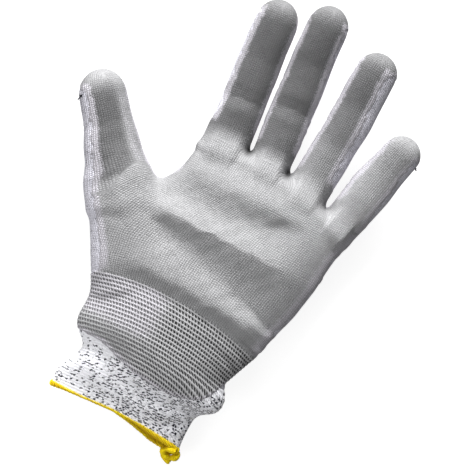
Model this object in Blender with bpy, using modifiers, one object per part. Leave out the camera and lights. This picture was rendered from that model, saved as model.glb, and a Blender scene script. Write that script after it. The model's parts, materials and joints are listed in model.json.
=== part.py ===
"""A cut resistant work glove for the left hand, lying on its back with the palm up.

A thin knitted liner forms the hand, and a polyurethane coating covers its palm side and fingertips.
The liner and the coating are divided at the knuckles and at the wrist, where the real fabric bends.
Every hinge line lies a little under the palm side of its finger, and the pieces on either side of it end
on planes through that line, so that they close up on each other at the limits of the movement.

Dimensions in the tables are millimetres. X runs towards the little finger, Y towards the fingertips and
Z out of the palm. The origin is where the back of the hand rests on the table.
"""

import math

import bmesh
import bpy
from mathutils import Matrix, Vector

MM = 0.001

LINER_WALL = 1.2
PALM_WALL = 1.5
COATING_THICKNESS = 0.4
COATING_GAP = 0.3
COATING_OFFSET = COATING_GAP + COATING_THICKNESS
HINGE_GAP = 0.25
HINGE_DEPTH = 5.0
HOLE_CLEARANCE = 0.6
ROOT_NEST = 3.0
TOP = 60.0
FAR = 160.0

FINGER_SIDES = 14
PALM_SIDES = 28
ROUNDNESS = 2.35

# Distance towards the fingertips, left edge, right edge, lowest and highest point of the hand's outside.
PALM_STATIONS = (
    (-56, -45, 41.5, 0.6, 26),
    (-42, -46.5, 45.5, 0.3, 27),
    (-30, -52, 50.5, -0.6, 28.5),
    (-15, -56, 55.5, -0.6, 30),
    (0, -55, 60, -0.6, 30.5),
    (12, -49, 61.5, -0.6, 30),
    (23, -41, 62.7, -0.6, 29),
    (36, -33, 65, -0.6, 27),
    (50, -30.5, 69.5, 0.3, 24),
    (68, -31, 73, 2, 21),
)
WRIST_STATIONS = (
    (-72, -39.5, 44.5, 1, 25),
    (-66, -44, 45, 0.8, 25.5),
    (-58, -45, 41.5, 0.6, 26),
    (-50, -45, 43, 0.5, 26.5),
    (-42, -46.5, 45.5, 0.3, 27),
    (-30, -52, 50.5, -0.6, 28.5),
)
CUFF_STATIONS = (
    (-98, -42.5, 35, 0.6, 10.2),
    (-93, -43, 34.5, 0.8, 12),
    (-87, -42.5, 34.3, 1.5, 15),
    (-80, -38.5, 35.5, 3, 18.5),
    (-75, -36, 36.5, 4.2, 20.5),
    (-66, -33.5, 34, 5, 20),
)
HEM_STATIONS = (
    (-101.4, -43.2, 35.7, 0.3, 10.9),
    (-98.4, -43.2, 35.7, 0.3, 10.9),
)
HEM_THICKNESS = 1.4

# The wrist bends about a line across the hand at mid height. The cuff swings about a line that stands square to the
# middle line of the sloping fabric between these two points, two degrees from upright.
WRIST_HINGE = (-42.0, 13.5)
WRIST_LIMIT = 40.0
CUFF_PIVOT = (0.0, -70.0, 12.5)

# The edge of the palm between the finger roots, from the little finger's side to the index finger's.
FINGER_ROOT_LINE = ((FAR, 24.0), (69.5, 44.6), (46.3, 52.6), (21.2, 58.8), (-3.7, 61.0), (-31.0, 57.8))
ROOT_LINE_LEFT = (-46.0, 57.8)
THUMB_CROTCH = (-40.5, 23.0)
COATING_LOWEST_Z = 11.0
COATING_INSET = 1.2

# Each finger: its root on the palm's edge, the direction it points in (degrees, positive to the right),
# the turn of its hinge lines, the hinge distances from the root, its length, and its width and height
# at stations from inside the palm to where the tip starts to round.
FINGERS = {
    "index": {
        "root": (-17.5, 59.3),
        "direction": -4.0,
        "hinge_turn": -1.5,
        "hinges": (7.5, 24.5, 46.0),
        "length": 80.3,
        "stations": ((-5, 22.5, 16.5), (0, 24, 17.6), (22, 24, 18), (45, 24, 17.4), (68, 21.5, 16)),
    },
    "middle": {
        "root": (8.6, 60.0),
        "direction": -4.3,
        "hinge_turn": -1.5,
        "hinges": (7.5, 30.5, 56.0),
        "length": 88.6,
        "stations": ((-5, 20, 16.5), (0, 21.4, 17.6), (30, 23.6, 18.4), (57, 22.7, 17.8), (77, 21.2, 16.4)),
    },
    "ring": {
        "root": (33.8, 55.7),
        "direction": 2.6,
        "hinge_turn": 1.0,
        "hinges": (8.0, 28.0, 52.5),
        "length": 82.2,
        "stations": ((-5, 20.5, 16), (0, 22, 17.2), (30, 22.8, 18), (58, 22.2, 17), (71, 20.4, 15.8)),
    },
    "little": {
        "root": (57.9, 48.6),
        "direction": 13.0,
        "hinge_turn": 5.0,
        "hinges": (7.5, 23.0, 38.5),
        "length": 57.4,
        "stations": ((-5, 18.5, 15), (0, 20, 16.2), (18, 22.4, 16.8), (36, 20.8, 15.8), (47, 17.8, 14.4)),
    },
}
# Largest bend and largest backward bend at the knuckles of a finger, from the root to the tip.
FINGER_BENDS = ((60.0, 10.0), (80.0, 5.0), (45.0, 5.0))
FINGER_RISE = (4.0, 9.0, 14.0)
FINGER_ROOT_Z = 11.2
TIP_ROUND = 11.0
TIP_TURNS = (32.0, 58.0, 76.0)
FINGER_COATING_ARC = 66.0
WRIST_COATING_ARC = 80.0

THUMB = {
    "root": (-56.0, 11.0),
    "direction": -40.0,
    "hinge_turn": -40.0,
    "hinges": (13.0, 36.0),
    "length": 64.2,
    "stations": ((-5, 25, 18.5), (0, 28, 20), (12, 30.5, 22), (24, 28, 21), (36, 26.5, 19.5), (52, 23.5, 17)),
}
THUMB_BENDS = ((45.0, 8.0), (70.0, 8.0))
THUMB_RISE = (3.0, 6.0)
THUMB_ROOT_Z = 13.4
THUMB_ROLL = 25.0
# The mound's direction, and then the distance along it from the thumb's root, left edge, right edge,
# lowest and highest point.
MOUND_DIRECTION = -36.0
THUMB_MOUND = (
    (-50, -18, 6, 3, 22),
    (-32, -21, 15, -0.6, 27.5),
    (-20, -20.5, 17, -0.6, 28.5),
    (-8, -19.5, 18.5, 0, 27.6),
    (6, -18, 18, 1, 26.6),
)

ELASTIC_TURNS = 3
ELASTIC_START = -78.0
ELASTIC_PITCH = 4.5
ELASTIC_RADIUS = 0.4
ELASTIC_GAP = 1.1
YARN_RADIUS = 0.5
THREAD_TAIL_RADIUS = 1.5
THREAD_TAIL_ROUTE = (
    (33.6, -102.9, 8.4),
    (29.5, -103.6, 8.2),
    (27.6, -105.4, 6.8),
    (29.6, -107.0, 5.6),
    (33.2, -106.6, 5.2),
    (36.2, -105.0, 4.2),
    (35.2, -103.4, 2.6),
    (31.4, -103.8, 2.0),
    (28.4, -106.2, 1.8),
    (31.8, -108.4, 1.8),
)

COLOURS = {
    "liner": ((0.78, 0.78, 0.86, 1), 0.9),
    "coating": ((0.36, 0.36, 0.37, 1), 0.55),
    "hem": ((0.86, 0.72, 0.03, 1), 0.8),
    "elastic": ((0.85, 0.85, 0.82, 1), 0.7),
    "yarn": ((0.06, 0.06, 0.07, 1), 0.9),
}


def clear_scene():
    for thing in list(bpy.data.objects):
        bpy.data.objects.remove(thing, do_unlink=True)


def new_collection(name):
    collection = bpy.data.collections.new(name)
    bpy.context.scene.collection.children.link(collection)
    return collection


def new_material(name, colour, roughness):
    material = bpy.data.materials.new(name)
    material.use_nodes = True
    surface = material.node_tree.nodes["Principled BSDF"]
    surface.inputs["Base Color"].default_value = colour
    surface.inputs["Roughness"].default_value = roughness
    surface.inputs["Metallic"].default_value = 0.0
    return material


def between(stations, distance):
    """The values of a table of stations at a distance, on straight lines between its rows."""
    rows = sorted(stations)
    if distance <= rows[0][0]:
        return rows[0][1:]
    for low, high in zip(rows, rows[1:]):
        if distance <= high[0]:
            share = (distance - low[0]) / (high[0] - low[0])
            return tuple(a + (b - a) * share for a, b in zip(low[1:], high[1:]))
    return rows[-1][1:]


def rounded(angle, half_width, half_height):
    """A point of a rounded section, with angle 0 on the palm side and turning towards +X."""
    across = math.sin(angle)
    up = math.cos(angle)
    power = 2 / ROUNDNESS
    return (
        half_width * math.copysign(abs(across) ** power, across),
        half_height * math.copysign(abs(up) ** power, up),
    )


def tube_section(stations, grow=0.0):
    """A function that gives the outside point of a sleeve at a distance and an angle."""

    def point(distance, angle):
        left, right, low, high = between(stations, distance)
        x, z = rounded(angle, (right - left) / 2 + grow, (high - low) / 2 + grow)
        return Vector(((left + right) / 2 + x, distance, (low + high) / 2 + z))

    return point


def centre_height(finger, rises, root_z, distance):
    """Height of a finger's middle line, which rises by a steeper slope after each hinge."""
    edges = (0.0, *finger["hinges"][1:], finger["length"])
    height = root_z
    for start, end, rise in zip(edges, edges[1:], rises):
        run = min(max(distance - start, 0.0), end - start)
        height += run * math.tan(math.radians(rise))
    return height


def finger_section(finger, rises, root_z, grow=0.0):
    """As tube_section, for a finger in its own frame, with a rounded tip."""
    length = finger["length"] + grow

    def point(distance, angle):
        width, height = between(finger["stations"], distance)
        into_tip = max(0.0, (distance - (length - TIP_ROUND)) / TIP_ROUND)
        shrink = math.sqrt(max(0.0, 1 - into_tip**2))
        x, z = rounded(angle, (width / 2 + grow) * shrink, (height / 2 + grow) * shrink)
        return Vector((x, distance, centre_height(finger, rises, root_z, distance) + z))

    return point


def hinge_plane(hinge_y, hinge_z, turn, up_angle, down_angle, side):
    """Where a piece ends at a hinge: on a plane through the hinge line, leaning away from the neighbour.

    side is -1 for the piece before the hinge and +1 for the one after it."""
    skew = math.tan(math.radians(turn))
    up_slope = math.tan(math.radians(up_angle / 2))
    down_slope = math.tan(math.radians(down_angle / 2))

    def end(x, z):
        rise = z - hinge_z
        lean = rise * up_slope if rise > 0 else -rise * down_slope
        return hinge_y - x * skew + side * (HINGE_GAP + lean)

    return end


def plain_end(distance):
    return lambda x, z: distance


def end_distance(section, end, angle, guess):
    """The distance at which the line of a section at this angle meets an end plane."""
    distance = guess
    for _ in range(12):
        place = section(distance, angle)
        distance = (distance + end(place.x, place.z)) / 2
    return distance


def sleeve_mesh(name, section, start, end, sides, arc=None, places=None, tip=None):
    """An open surface of a sleeve, which a Solidify modifier then thickens inwards.

    start and end are pairs of an end plane and its distance. arc leaves only the palm side within that
    angle. places are the distances of the rings between, instead of one halfway. tip closes the far end."""
    if arc is None:
        angles = [2 * math.pi * i / sides for i in range(sides)]
    else:
        angles = [math.radians(arc) * (2 * i / sides - 1) for i in range(sides + 1)]
    lines = []
    for angle in angles:
        first = end_distance(section, start[0], angle, start[1])
        final = tip - TIP_ROUND if tip else end_distance(section, end[0], angle, end[1])
        line = [first, *(places or [(first + final) / 2]), final]
        if tip:
            line += [final + TIP_ROUND * math.sin(math.radians(turn)) for turn in TIP_TURNS]
        lines.append([section(distance, angle) * MM for distance in line])
    bm = bmesh.new()
    rings = [[bm.verts.new(place) for place in ring] for ring in zip(*lines)]
    pairs = list(zip(range(len(angles)), [*range(1, len(angles)), 0]))
    if arc is not None:
        pairs.pop()
    for near, far in zip(rings, rings[1:]):
        for i, j in pairs:
            bm.faces.new((near[i], near[j], far[j], far[i]))
    if tip:
        pole = bm.verts.new(section(tip, 0.0) * MM)
        for i, j in pairs:
            bm.faces.new((rings[-1][i], rings[-1][j], pole))
    mesh = bpy.data.meshes.new(name)
    bm.to_mesh(mesh)
    bm.free()
    mesh.update()
    if mesh.polygons[0].normal.z < 0:
        mesh.flip_normals()
    return mesh


def loft_mesh(name, section, distances, sides):
    """A closed solid through the rings of a section."""
    bm = bmesh.new()
    rings = []
    for distance in distances:
        angles = [2 * math.pi * (i + 0.5) / sides for i in range(sides)]
        rings.append([bm.verts.new(section(distance, angle) * MM) for angle in angles])
    for near, far in zip(rings, rings[1:]):
        for i in range(sides):
            j = (i + 1) % sides
            bm.faces.new((near[i], near[j], far[j], far[i]))
    bm.faces.new(rings[0])
    bm.faces.new(reversed(rings[-1]))
    bmesh.ops.recalc_face_normals(bm, faces=bm.faces)
    mesh = bpy.data.meshes.new(name)
    bm.to_mesh(mesh)
    bm.free()
    return mesh


def prism_mesh(name, outline, low, high, turned=False):
    """A flat outline in plan, raised from low to high. Turned, it is a side view run across the hand."""
    bm = bmesh.new()
    corners = []
    for u, v in outline:
        place = (low, u, v) if turned else (u, v, low)
        corners.append(bm.verts.new(Vector(place) * MM))
    face = bm.faces.new(corners)
    raised = bmesh.ops.extrude_face_region(bm, geom=[face])
    shift = Vector((high - low, 0, 0)) if turned else Vector((0, 0, high - low))
    moved = [item for item in raised["geom"] if isinstance(item, bmesh.types.BMVert)]
    bmesh.ops.translate(bm, vec=shift * MM, verts=moved)
    bmesh.ops.recalc_face_normals(bm, faces=bm.faces)
    mesh = bpy.data.meshes.new(name)
    bm.to_mesh(mesh)
    bm.free()
    return mesh


class Glove:
    def __init__(self):
        self.parts = new_collection("cut_resistant_glove")
        self.helpers = new_collection("cutters")
        self.materials = {name: new_material(name, *look) for name, look in COLOURS.items()}

    def pivot(self, name, place, parent=None, turn=0.0, roll=0.0):
        """An empty on a joint's axis, with its X axis along a finger's hinge line."""
        empty = bpy.data.objects.new(name, None)
        empty.empty_display_size = 0.01
        self.parts.objects.link(empty)
        empty.parent = parent
        along = Matrix.Rotation(math.radians(-turn), 4, "Z") @ Matrix.Rotation(math.radians(roll), 4, "Y")
        empty.matrix_world = Matrix.Translation(Vector(place) * MM) @ along
        bpy.context.view_layer.update()
        return empty

    def part(self, name, mesh, material, pivot, frame=None):
        """A visible part, whose origin is its pivot's."""
        frame = Matrix.Identity(4) if frame is None else frame
        mesh.transform(pivot.matrix_world.inverted() @ frame)
        mesh.materials.append(self.materials[material])
        thing = bpy.data.objects.new(name, mesh)
        self.parts.objects.link(thing)
        thing.parent = pivot
        return thing

    def helper(self, name, mesh):
        thing = bpy.data.objects.new(name, mesh)
        self.helpers.objects.link(thing)
        thing.hide_render = True
        thing.display_type = "WIRE"
        return thing

    def thicken(self, thing, thickness):
        shell = thing.modifiers.new("Solidify", "SOLIDIFY")
        shell.thickness = thickness * MM
        shell.offset = -1
        shell.use_even_offset = True

    def boolean(self, thing, operation, other):
        cut = thing.modifiers.new(operation.title(), "BOOLEAN")
        cut.operation = operation
        cut.solver = "EXACT"
        cut.object = other

    def tube(self, name, route, radius, material, pivot, round_sides=2):
        """A yarn along a list of points in millimetres."""
        curve = bpy.data.curves.new(name, "CURVE")
        curve.dimensions = "3D"
        curve.bevel_depth = radius * MM
        curve.bevel_resolution = round_sides
        curve.use_fill_caps = True
        spline = curve.splines.new("POLY")
        spline.points.add(len(route) - 1)
        inverse = pivot.matrix_world.inverted()
        for spot, place in zip(spline.points, route):
            spot.co = (*(inverse @ (Vector(place) * MM)), 1)
        curve.materials.append(self.materials[material])
        thing = bpy.data.objects.new(name, curve)
        self.parts.objects.link(thing)
        thing.parent = pivot
        return thing


def wrist_wedge():
    """The side view of what lies behind the hinge line of the wrist."""
    y, z = WRIST_HINGE
    slope = math.tan(math.radians(WRIST_LIMIT / 2))
    reach = TOP
    return (
        (y + HINGE_GAP, z),
        (y + HINGE_GAP + reach * slope, z + reach),
        (-FAR, z + reach),
        (-FAR, z - reach),
        (y + HINGE_GAP + reach * slope, z - reach),
    )


def palm_outline(inset, past_thumb):
    """The palm's plan, ended at the finger roots and at the thumb's root."""
    direction = math.radians(THUMB["direction"])
    along = Vector((math.sin(direction), math.cos(direction)))
    across = Vector((along.y, -along.x))
    root = Vector(THUMB["root"]) + along * past_thumb
    crotch = Vector(THUMB_CROTCH)
    crotch -= along * ((crotch - root) @ along)
    far_left = root - across * FAR / 2
    points = [(FAR, -FAR)]
    points += [(x, y - inset) for x, y in (*FINGER_ROOT_LINE, ROOT_LINE_LEFT)]
    points += [tuple(crotch), tuple(far_left), (-FAR, -FAR)]
    return points


def finger_frame(finger, roll=0.0):
    """From a finger's own frame, with Y along it, to the hand's."""
    x, y = finger["root"]
    turn = Matrix.Rotation(math.radians(-finger["direction"]), 4, "Z")
    middle = Matrix.Translation(Vector((0, 0, THUMB_ROOT_Z)) * MM)
    tilt = middle @ Matrix.Rotation(math.radians(roll), 4, "Y") @ middle.inverted()
    return Matrix.Translation(Vector((x, y, 0)) * MM) @ turn @ tilt


def build_palm(glove):
    body = glove.pivot("palm", (0, 0, 0))
    main = [row[0] for row in PALM_STATIONS]
    mound_frame = finger_frame({"root": THUMB["root"], "direction": MOUND_DIRECTION})
    mound_places = [row[0] for row in THUMB_MOUND]

    def hand(name, grow, longer=0.0):
        places = [main[0] - longer, *main[1:-1], main[-1] + longer]
        return loft_mesh(name, tube_section(PALM_STATIONS, grow), places, PALM_SIDES)

    def mound(name, grow, longer=0.0):
        places = [mound_places[0], *mound_places[1:-1], mound_places[-1] + longer]
        mesh = loft_mesh(name, tube_section(THUMB_MOUND, grow), places, PALM_SIDES - 8)
        mesh.transform(mound_frame)
        return mesh

    wedge = glove.helper("wrist_wedge", prism_mesh("wrist_wedge", wrist_wedge(), -FAR, FAR, turned=True))

    cavity = glove.helper("palm_cavity", hand("palm_cavity", -PALM_WALL, 10))
    cavity_mound = glove.helper("thumb_mound_cavity", mound("thumb_mound_cavity", -PALM_WALL, 10))
    room = prism_mesh("cavity_plan", palm_outline(PALM_WALL, 8), -TOP, TOP)
    glove.boolean(cavity, "UNION", cavity_mound)
    glove.boolean(cavity, "INTERSECT", glove.helper("cavity_plan", room))

    holes = []
    for name, finger in FINGERS.items():
        section = finger_section(finger, FINGER_RISE, FINGER_ROOT_Z, HOLE_CLEARANCE)
        hole = loft_mesh(f"{name}_hole", section, (-ROOT_NEST - 2, 0, ROOT_NEST + 5), FINGER_SIDES)
        hole.transform(finger_frame(finger))
        holes.append(glove.helper(f"{name}_hole", hole))

    liner = glove.part("palm_liner", hand("palm_liner", 0), "liner", body)
    glove.boolean(liner, "UNION", glove.helper("thumb_mound", mound("thumb_mound", 0)))
    plan = prism_mesh("palm_plan", palm_outline(0, 0), 0, TOP)
    glove.boolean(liner, "INTERSECT", glove.helper("palm_plan", plan))
    for cutter in (cavity, *holes, wedge):
        glove.boolean(liner, "DIFFERENCE", cutter)

    coating = glove.part("palm_coating", hand("palm_coating", COATING_OFFSET), "coating", body)
    outer = glove.helper("mound_coating", mound("mound_coating", COATING_OFFSET))
    inner = glove.helper("hand_under_coating", hand("hand_under_coating", COATING_GAP, 5))
    inner_mound = glove.helper("mound_under_coating", mound("mound_under_coating", COATING_GAP, 5))
    cover = prism_mesh("coating_plan", palm_outline(COATING_INSET, -COATING_INSET), COATING_LOWEST_Z, TOP)
    glove.boolean(inner, "UNION", inner_mound)
    glove.boolean(coating, "UNION", outer)
    glove.boolean(coating, "INTERSECT", glove.helper("coating_plan", cover))
    for cutter in (inner, *holes, wedge):
        glove.boolean(coating, "DIFFERENCE", cutter)
    return body


def build_wrist(glove, palm):
    y, z = WRIST_HINGE
    body = glove.pivot("wrist", (0, y, z), palm)
    end = hinge_plane(y, z, 0, WRIST_LIMIT, WRIST_LIMIT, -1)
    last = WRIST_STATIONS[0][0]
    section = tube_section(WRIST_STATIONS)
    places = [row[0] for row in WRIST_STATIONS[1:4]]
    start = (plain_end(last), last)
    mesh = sleeve_mesh("wrist_liner", section, start, (end, y), PALM_SIDES, places=places)
    glove.thicken(glove.part("wrist_liner", mesh, "liner", body), PALM_WALL)
    section = tube_section(WRIST_STATIONS, COATING_OFFSET)
    start = (plain_end(last + 1), last + 1)
    mesh = sleeve_mesh("wrist_coating", section, start, (end, y), PALM_SIDES // 2, WRIST_COATING_ARC, places)
    glove.thicken(glove.part("wrist_coating", mesh, "coating", body), COATING_THICKNESS)
    return body


def build_cuff(glove, wrist):
    body = glove.pivot("cuff", CUFF_PIVOT, wrist)
    first, last = CUFF_STATIONS[0][0], CUFF_STATIONS[-1][0]
    section = tube_section(CUFF_STATIONS)
    ends = (plain_end(first), first), (plain_end(last), last)
    places = [row[0] for row in CUFF_STATIONS[1:-1]]
    mesh = sleeve_mesh("cuff_liner", section, *ends, PALM_SIDES, places=places)
    glove.thicken(glove.part("cuff_liner", mesh, "liner", body), LINER_WALL)

    low, high = HEM_STATIONS[0][0], HEM_STATIONS[1][0]
    section = tube_section(HEM_STATIONS)
    ends = (plain_end(low), low), (plain_end(high), high)
    mesh = sleeve_mesh("hem_overlock", section, *ends, PALM_SIDES)
    glove.thicken(glove.part("hem_overlock", mesh, "hem", body), HEM_THICKNESS)

    inside = tube_section(CUFF_STATIONS, -LINER_WALL - ELASTIC_RADIUS - ELASTIC_GAP)
    route = []
    for i in range(ELASTIC_TURNS * PALM_SIDES + 1):
        turn = i / PALM_SIDES
        distance = ELASTIC_START - ELASTIC_PITCH * turn
        route.append(inside(distance, 2 * math.pi * turn))
    glove.tube("cuff_elastic", route, ELASTIC_RADIUS, "elastic", body, round_sides=1)
    glove.tube("hem_thread_tail", THREAD_TAIL_ROUTE, THREAD_TAIL_RADIUS, "hem", body)
    return body


def build_digit(glove, palm, name, finger, names, bends, rises, root_z, roll=0.0):
    """A finger or the thumb: a root ring that turns in the palm, and a sleeve after each knuckle."""
    frame = finger_frame(finger, roll)
    bare = finger_section(finger, rises, root_z)
    coated = finger_section(finger, rises, root_z, COATING_OFFSET)
    lean = finger["hinge_turn"] - finger["direction"]
    x, y = finger["root"]
    parent = glove.pivot(f"{name}_root", (x, y, root_z), palm, finger["direction"])
    before = (plain_end(-ROOT_NEST), -ROOT_NEST)
    pieces = []
    pivots = [parent]
    for distance, (bend, back) in zip(finger["hinges"], bends):
        height = bare(distance, 0.0).z - HINGE_DEPTH
        planes = [hinge_plane(distance, height, lean, bend, back, side) for side in (-1, 1)]
        pieces.append((before, (planes[0], distance)))
        before = (planes[1], distance)
        place = frame @ (Vector((0, distance, height)) * MM) / MM
        hinge_name = f"{name}_hinge_{len(pieces)}"
        pivots.append(glove.pivot(hinge_name, place, pivots[-1], finger["hinge_turn"], roll))
    for piece, pivot, ends in zip(names, pivots, pieces):
        label = f"{name}_{piece}"
        mesh = sleeve_mesh(f"{label}_liner", bare, *ends, FINGER_SIDES)
        glove.thicken(glove.part(f"{label}_liner", mesh, "liner", pivot, frame), LINER_WALL)
        if piece != "root":
            mesh = sleeve_mesh(f"{label}_coating", coated, *ends, 8, FINGER_COATING_ARC)
            glove.thicken(glove.part(f"{label}_coating", mesh, "coating", pivot, frame), COATING_THICKNESS)
    label = f"{name}_{names[-1]}"
    length = finger["length"]
    mesh = sleeve_mesh(f"{label}_liner", bare, before, None, FINGER_SIDES, tip=length)
    glove.thicken(glove.part(f"{label}_liner", mesh, "liner", pivots[-1], frame), LINER_WALL)
    tip = length + COATING_OFFSET
    mesh = sleeve_mesh(f"{label}_coating", coated, before, None, 8, FINGER_COATING_ARC, tip=tip)
    glove.thicken(glove.part(f"{label}_coating", mesh, "coating", pivots[-1], frame), COATING_THICKNESS)
    return pivots[-1], frame, bare


def build_yarn_tail(glove, name, digit, distance, angle, reach):
    """A cut yarn end that stands out from a fingertip's side."""
    pivot, frame, section = digit
    route = []
    middle = section(distance, 0.0)
    middle.z = (section(distance, 0.0).z + section(distance, math.pi).z) / 2
    wall = section(distance, math.radians(angle))
    out = (wall - middle).normalized()
    for step in range(4):
        place = wall + out * (YARN_RADIUS + COATING_GAP + step * reach / 3)
        place.y += 0.35 * step**2
        route.append(frame @ (place * MM) / MM)
    glove.tube(name, route, YARN_RADIUS, "yarn", pivot, round_sides=1)


def main():
    clear_scene()
    glove = Glove()
    palm = build_palm(glove)
    wrist = build_wrist(glove, palm)
    build_cuff(glove, wrist)
    digits = {}
    for name, finger in FINGERS.items():
        names = ("root", "proximal", "middle", "tip")
        shape = names, FINGER_BENDS, FINGER_RISE, FINGER_ROOT_Z
        digits[name] = build_digit(glove, palm, name, finger, *shape)
    shape = ("root", "proximal", "tip"), THUMB_BENDS, THUMB_RISE, THUMB_ROOT_Z, THUMB_ROLL
    digits["thumb"] = build_digit(glove, palm, "thumb", THUMB, *shape)
    build_yarn_tail(glove, "thumb_yarn_tail", digits["thumb"], 54.0, -90.0, 4.0)
    build_yarn_tail(glove, "little_yarn_tail", digits["little"], 48.0, 90.0, 2.5)


main()
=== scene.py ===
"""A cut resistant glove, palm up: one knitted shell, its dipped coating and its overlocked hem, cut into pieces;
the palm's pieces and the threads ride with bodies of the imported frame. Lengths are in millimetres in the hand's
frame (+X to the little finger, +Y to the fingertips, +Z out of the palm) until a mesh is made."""

import json
import math

import bmesh
import bpy
import numpy as np
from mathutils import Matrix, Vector


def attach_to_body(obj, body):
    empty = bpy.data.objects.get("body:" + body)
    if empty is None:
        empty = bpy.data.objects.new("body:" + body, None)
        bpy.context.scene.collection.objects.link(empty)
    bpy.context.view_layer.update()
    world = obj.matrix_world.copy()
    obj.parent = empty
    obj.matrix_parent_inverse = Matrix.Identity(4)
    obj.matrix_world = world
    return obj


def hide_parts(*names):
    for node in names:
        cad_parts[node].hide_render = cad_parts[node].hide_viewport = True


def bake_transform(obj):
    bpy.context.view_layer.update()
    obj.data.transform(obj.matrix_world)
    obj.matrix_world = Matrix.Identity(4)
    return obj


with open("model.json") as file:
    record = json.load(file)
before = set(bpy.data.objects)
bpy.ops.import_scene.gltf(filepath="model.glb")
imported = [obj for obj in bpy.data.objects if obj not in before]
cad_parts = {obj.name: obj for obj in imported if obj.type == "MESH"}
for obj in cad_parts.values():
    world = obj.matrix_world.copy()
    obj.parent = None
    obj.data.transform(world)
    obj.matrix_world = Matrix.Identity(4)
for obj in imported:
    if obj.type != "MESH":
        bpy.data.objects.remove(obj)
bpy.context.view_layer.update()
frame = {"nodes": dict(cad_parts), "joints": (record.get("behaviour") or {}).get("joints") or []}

MM = 0.001
NODES = frame["nodes"]
JOINTS = {joint["name"]: np.array(joint["pos_m"]) / MM for joint in frame["joints"]}

# Shape

VOXEL = 1.25  # mesh pitch before its one subdivision
ROUNDNESS = 2.35  # of every cross-section, as a superellipse's exponent
WEB, THUMB_WEB = 5.0, 9  # how far the skin between fingers, and at the thumb, fills in
FACE_WEB = 7  # more of that on the front and back of the hand
WALL = 1.2  # of the knitted liner
COAT_LIFT = 0.36  # how far the coating stands off the liner
COAT_DIP = 0.14  # how far its edge dips under the liner
COAT_RIM = 0.55  # how far past its outline that edge lies
EDGE_Y = -98.0  # where the cuff ends, before its edge is shaped
FAR = 1e3
GRID_LOW, GRID_HIGH = (-108.0, -4.0), (86.0, 160.0, 36.0)  # x and z, then x, y and z

# Each digit, in its own frame: distance from its root, left edge, right edge; then distance and half depth.
DIGITS = {
    "index": {
        "direction": -4.0,
        "length": 80.4,
        "tip": 12.5,
        "edges": ((-8, -13.1, 12.4), (2, -12.2, 12.4), (22, -11.7, 12.0), (40, -12.2, 11.7), (58, -12.1, 11.1),
                  (69, -11.2, 11.2)),
        "depth": ((-6, 8.2), (2, 8.8), (22, 9.0), (45, 8.8), (69, 8.2)),
    },
    "middle": {
        "direction": -4.3,
        "length": 88.8,
        "tip": 12.5,
        "edges": ((-8, -10.2, 10.6), (2, -10.5, 10.9), (24, -11.5, 11.8), (44, -11.1, 11.8), (61, -11.0, 11.4),
                  (77, -10.5, 11.5)),
        "depth": ((-6, 8.2), (2, 8.8), (30, 9.2), (57, 8.9), (77, 8.3)),
    },
    "ring": {
        "direction": 2.6,
        "length": 82.4,
        "tip": 12.0,
        "edges": ((-8, -11.2, 11.0), (6, -11.4, 11.2), (24, -10.7, 12.1), (45, -10.4, 12.5), (64, -10.8, 12.0),
                  (71, -11.0, 11.4)),
        "depth": ((-6, 8.0), (2, 8.6), (30, 9.0), (58, 8.6), (71, 8.1)),
    },
    "little": {
        "direction": 13.0,
        "length": 57.8,
        "tip": 11.0,
        "edges": ((-8, -10.6, 10.0), (2, -10.6, 10.3), (12, -10.8, 11.3), (24, -11.4, 11.8), (38, -10.5, 11.0),
                  (47, -9.6, 10.8)),
        "depth": ((-6, 7.6), (2, 8.1), (18, 8.4), (36, 8.0), (47, 7.5)),
    },
    "thumb": {
        "direction": -40.0,
        "length": 64.8,
        "tip": 13.0,
        "edges": ((-10, -18.6, 17.6), (2, -18.0, 17.0), (12, -17.0, 15.8), (24, -16.4, 14.6), (36, -13.7, 13.2),
                  (52, -12.9, 12.6)),
        "depth": ((-8, 9.6), (2, 10.4), (12, 11.0), (24, 10.7), (36, 10.0), (52, 8.8)),
        "roll": 25.0,
    },
}
FINGERS = ("index", "middle", "ring", "little")
SEGMENTS = dict.fromkeys(FINGERS, ("root", "proximal", "middle", "tip")) | {"thumb": ("root", "proximal", "tip")}
BENDS = dict.fromkeys(FINGERS, ("base", "middle", "tip")) | {"thumb": ("base", "tip")}
FINGER_RISE = (4.0, 9.0, 14.0)
THUMB_RISE = (5.0, 5.0)

# The palm, wrist and cuff: distance towards the fingertips, left edge, right edge, lowest and highest point.
PALM = (
    (-106, -43.2, 35.6, 0.2, 12.0),
    (-98, -42.8, 35.0, 0.4, 12.8),
    (-92, -43.2, 34.2, 0.8, 14.4),
    (-86, -42.2, 34.0, 1.6, 16.8),
    (-80, -38.6, 35.0, 2.8, 19.2),
    (-76, -36.2, 39.5, 3.2, 20.8),
    (-72, -36.4, 44.6, 3.0, 22.0),
    (-66, -43.2, 45.6, 2.0, 23.6),
    (-61, -45.2, 43.0, 1.2, 24.8),
    (-57, -45.4, 40.2, 0.9, 25.6),
    (-52, -45.2, 42.4, 0.6, 26.2),
    (-45, -45.4, 45.4, 0.4, 27.0),
    (-37, -47.6, 48.8, 0.0, 28.0),
    (-25, -53.0, 52.2, -0.5, 29.2),
    (-8, -56.0, 57.8, -0.6, 30.0),
    (10, -50.0, 61.0, -0.6, 30.0),
    (23, -41.0, 62.4, -0.6, 29.0),
    (30, -35.6, 63.4, -0.6, 28.0),
    (37, -31.8, 65.0, -0.4, 26.8),
    (47, -30.0, 67.8, 0.6, 24.6),
    (66, -30.5, 72.0, 2.0, 21.4),
)
PALM_BLUR = 5.0
# The line through the crotches, where the palm's far end rounds off, and how long that round is.
PALM_END = ((-60, 58.4), (-31, 58.4), (-3.7, 60.6), (21.2, 58.6), (46.3, 52.4), (69.5, 44.0), (80, 40))
PALM_END_ROUND = 9.0
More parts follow.
